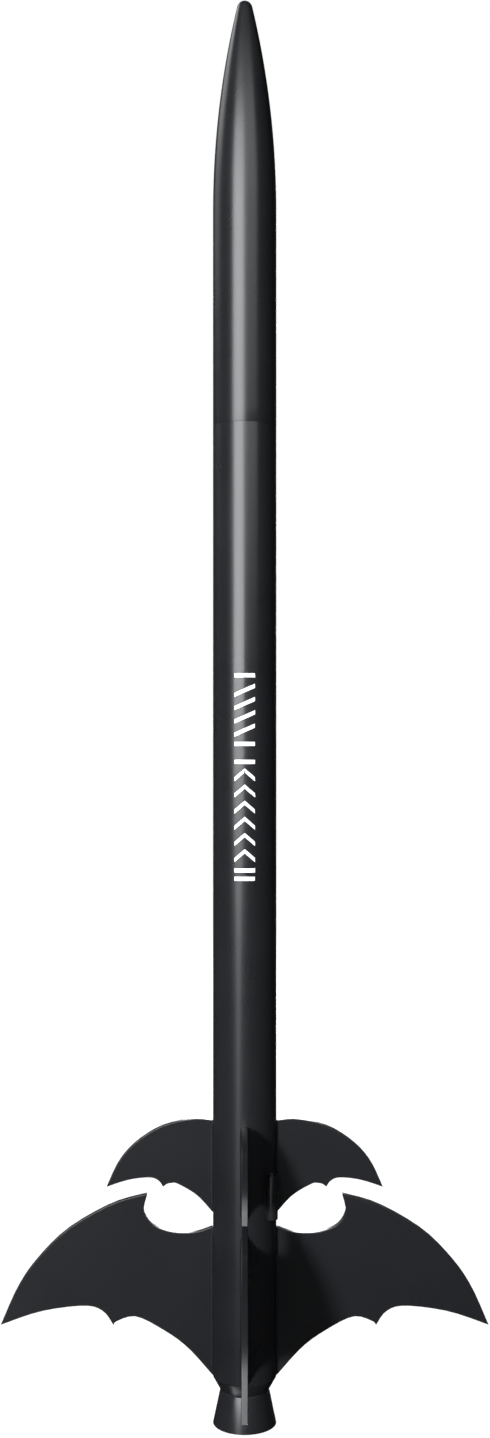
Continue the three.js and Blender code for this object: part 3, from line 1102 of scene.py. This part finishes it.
decal = {
    "lowerFoot": 212.7,  # height of the chevrons' ladder
    "upperFoot": 264.5,  # height of the slanted stripes
    "halfWidth": 4.0,
    "stroke": 1.6,
    "barPitch": 3.2,
    "chevrons": 6,
    "firstChevron": 7.2,  # above the ladder's foot
    "chevronPitch": 6.2,
    "chevronRise": 3.4,
    "lastBarGap": 0.5,
    "stripes": 4,
    "firstStripe": 3.52,  # above the stripes' foot
    "stripePitch": 5.1,
    "stripeSlant": 3.52,
    "topBar": 26.32,  # above the stripes' foot
    "lift": -0.02,  # the film's inner face lies just under the lacquer that seals it
    "film": 0.07,
    "stepsAcross": 8,
    "stepsUp": 4,
}


# One stroke of ink from start to end, both (across, up), as the four corners of an upright slant:
# start, end, and the same raised by the stroke.
def inkStroke(start, end):
    up = np.array([0, decal["stroke"]])
    start, end = np.array(start), np.array(end)
    return np.array([start, end, end + up, start + up])


# A stroke wrapped on the tube as a thin solid: the corners are blended as
# (1-u)(1-v) c0 + u(1-v) c1 + uv c2 + (1-u)v c3, and across is arc length, so the angle is
# across / R, measured from the front of the tube.
def wrappedPatch(corners):
    columns, rows = decal["stepsAcross"], decal["stepsUp"]
    corners = corners * mm
    u = np.linspace(0, 1, columns)[:, None, None]
    v = np.linspace(0, 1, rows)[None, :, None]
    flat = (
        (1 - u) * (1 - v) * corners[0] + u * (1 - v) * corners[1]
        + u * v * corners[2] + (1 - u) * v * corners[3]
    )
    angle = flat[..., 0] / tubeRadius - math.pi / 2
    inner = tubeRadius + decal["lift"] * mm
    radii = (inner, inner + decal["film"] * mm)
    points = np.vstack([polar(r, angle, flat[..., 1]).reshape(-1, 3) for r in radii])
    count = columns * rows
    index = np.arange(count).reshape(columns, rows)
    border = np.concatenate([index[:-1, 0], index[-1, :-1], index[:0:-1, -1], index[0, :0:-1]])
    nextOne = np.roll(border, -1)
    sides = np.stack([border, nextOne, nextOne + count, border + count], axis=-1)
    outerFaces = [[count + i for i in face] for face in gridFaces(columns, rows)]
    return points, gridFaces(columns, rows) + outerFaces + sides.tolist()


# Abstract flight marks: a ladder of rising chevrons between crossbars, and above it a short block of
# slanted stripes.
def buildDecal():
    half, rise = decal["halfWidth"], decal["chevronRise"]
    lower, upper = decal["lowerFoot"], decal["upperFoot"]
    first = lower + decal["firstChevron"]
    chevrons = [
        inkStroke((0, low + rise), (side * half, low))
        for low in first + decal["chevronPitch"] * np.arange(decal["chevrons"])
        for side in (-1, 1)
    ]
    stripes = [
        inkStroke((-half, low), (half, low + decal["stripeSlant"]))
        for low in upper + decal["firstStripe"] + decal["stripePitch"] * np.arange(decal["stripes"])
    ]
    ladderTop = first + decal["chevrons"] * decal["chevronPitch"] + decal["lastBarGap"]
    heights = (lower, lower + decal["barPitch"], ladderTop, upper, upper + decal["topBar"])
    bars = [inkStroke((-half, low), (half, low)) for low in heights]
    strokes = chevrons + stripes + bars
    marks = meshPiece("abstract_flight_marks", *gathered([wrappedPatch(s) for s in strokes]))
    finish(marks, whiteInk, "airframe", "tube_paint")


buildDecal()
print("decal built")


# Distances here are metres. Azimuth counts from the front of the rocket to its left, in degrees. A
# panel shows only in gloss and is a column of bands, each (bottom, top, radiance); a lamp gives only
# matt light.
panels = {
    "main": {
        "azimuth": 22.3, "distance": 3.0, "width": 2.15,
        "bands": [(0.3, 2.0, 10.7), (2.0, 2.5, 9.9)],
    },
    "foot": {
        "azimuth": 23, "distance": 3.0, "width": 0.8,
        "bands": [(-1.0, 0.0, 2.1), (0.0, 0.3, 6.0)],
    },
    "second": {
        "azimuth": -20.7, "distance": 3.0, "width": 2.67,
        "bands": [(0.98, 1.4, 1.3), (1.4, 3.0, 2.6)],
    },
    "rim": {
        "azimuth": 119, "distance": 1.2, "width": 0.78,
        "bands": [(0.6, 0.8, 0.1), (0.8, 1.05, 0.8), (1.05, 1.35, 1.9), (1.35, 2.0, 3.2)],
    },
    "back": {
        "azimuth": 181, "distance": 1.3, "width": 0.36,
        "bands": [(-0.9, 0.15, 7.0), (0.15, 1.0, 8.0)],
    },
}
lamps = {
    "key": {"azimuth": 24, "distance": 1.6, "height": 0.55, "size": 0.16, "radiance": 560},
    "frontFill": {"azimuth": -8, "distance": 1.6, "height": 0.5, "size": 0.35, "radiance": 16},
    "leftFill": {"azimuth": 115, "distance": 1.5, "height": 0.6, "size": 0.7, "radiance": 16},
    "backFill": {"azimuth": 185, "distance": 1.5, "height": 0.9, "size": 0.5, "radiance": 14},
    "rightFill": {"azimuth": -156, "distance": 1.5, "height": 0.6, "size": 0.5, "radiance": 115},
}
lampAim = (0, 0, 0.3)
tableGlow = {"place": (-0.15, -0.02, -0.5), "width": 0.2, "tall": 0.14, "radiance": 3.0}
lampTint = "#fcfdff"
ambient = {"matt": 0.12, "gloss": 0.006}
floorSetup = {"half": 3.0, "drop": 0.0002, "grey": 0.05}
white = (1, 1, 1, 1)


# An area light facing its target. Watts are pi times radiance times area.
def addLight(name, place, target, width, tall, radiance, inGloss):
    data = bpy.data.lights.new(name, "AREA")
    data.shape = "RECTANGLE"
    data.size, data.size_y = width, tall
    data.energy = math.pi * radiance * width * tall
    data.color = fromHex(lampTint)[:3]
    light = bpy.data.objects.new(name, data)
    light.location = place
    light.rotation_euler = (Vector(target) - Vector(place)).to_track_quat("-Z", "Y").to_euler()
    light.visible_camera = False
    light.visible_glossy = inGloss
    light.visible_diffuse = not inGloss
    scene.collection.objects.link(light)


# A point at an azimuth, a distance and a height: x = -d sin a, y = -d cos a, z = h.
def around(azimuth, distance, height):
    turn = math.radians(azimuth)
    return (-distance * math.sin(turn), -distance * math.cos(turn), height)


# Each band of a panel is a light facing the axis at its own height, and every lamp aims at one point.
def addLights():
    for name, panel in panels.items():
        for low, high, radiance in panel["bands"]:
            height = (low + high) / 2
            place = around(panel["azimuth"], panel["distance"], height)
            addLight(name, place, (0, 0, height), panel["width"], high - low, radiance, True)
    for name, lamp in lamps.items():
        place = around(lamp["azimuth"], lamp["distance"], lamp["height"])
        addLight(name, place, lampAim, lamp["size"], lamp["size"], lamp["radiance"], False)
    # A small glow from below stands for light off the table, under the tail.
    place, size = Vector(tableGlow["place"]), (tableGlow["width"], tableGlow["tall"])
    addLight("tableGlow", place, place + Vector((0, 0, 1)), *size, tableGlow["radiance"], True)


# The world is white to the camera, and gives a little light of its own, less in gloss than in matt.
def buildWorld():
    world = bpy.data.worlds.new("studio")
    scene.world = world
    tree = emptyTree(world)
    path = addNode(tree, "LightPath")
    soft = addNode(
        tree, "Mix",
        {
            "Factor": path.outputs["Is Diffuse Ray"],
            "A": (ambient["gloss"],) * 3 + (1,),
            "B": (ambient["matt"],) * 3 + (1,),
        },
        data_type="RGBA",
    )
    seen = addNode(
        tree, "Mix",
        {"Factor": path.outputs["Is Camera Ray"], "A": soft, "B": white}, data_type="RGBA",
    )
    background = addNode(tree, "Background", {"Color": seen, "Strength": 1.0})
    addNode(tree, "OutputWorld", {"Surface": background})


# The floor is a flat pale sheet: white to the camera, a dull grey to the light that it sends back.
def buildFloor():
    half, drop = floorSetup["half"], floorSetup["drop"]
    corners = [[-half, -half, -drop], [half, -half, -drop], [half, half, -drop], [-half, half, -drop]]
    floor = meshPiece("floor", corners, [[0, 1, 2, 3]])
    material = bpy.data.materials.new("pale_paper_sweep")
    tree = emptyTree(material)
    path = addNode(tree, "LightPath")
    matt = addNode(tree, "BsdfDiffuse", {"Color": (floorSetup["grey"],) * 3 + (1,)})
    bright = addNode(tree, "Emission", {"Color": white, "Strength": 1.0})
    seen = addNode(tree, "AddShader", {0: matt, 1: bright})
    mixed = addNode(tree, "MixShader", {0: path.outputs["Is Camera Ray"], 1: matt, 2: seen})
    addNode(tree, "OutputMaterial", {"Surface": mixed})
    floor.data.materials.append(material)
    floor.visible_glossy = False
    floor.visible_shadow = False


addLights()
buildWorld()
buildFloor()
scene.view_settings.view_transform = "Standard"
print("stage lit")
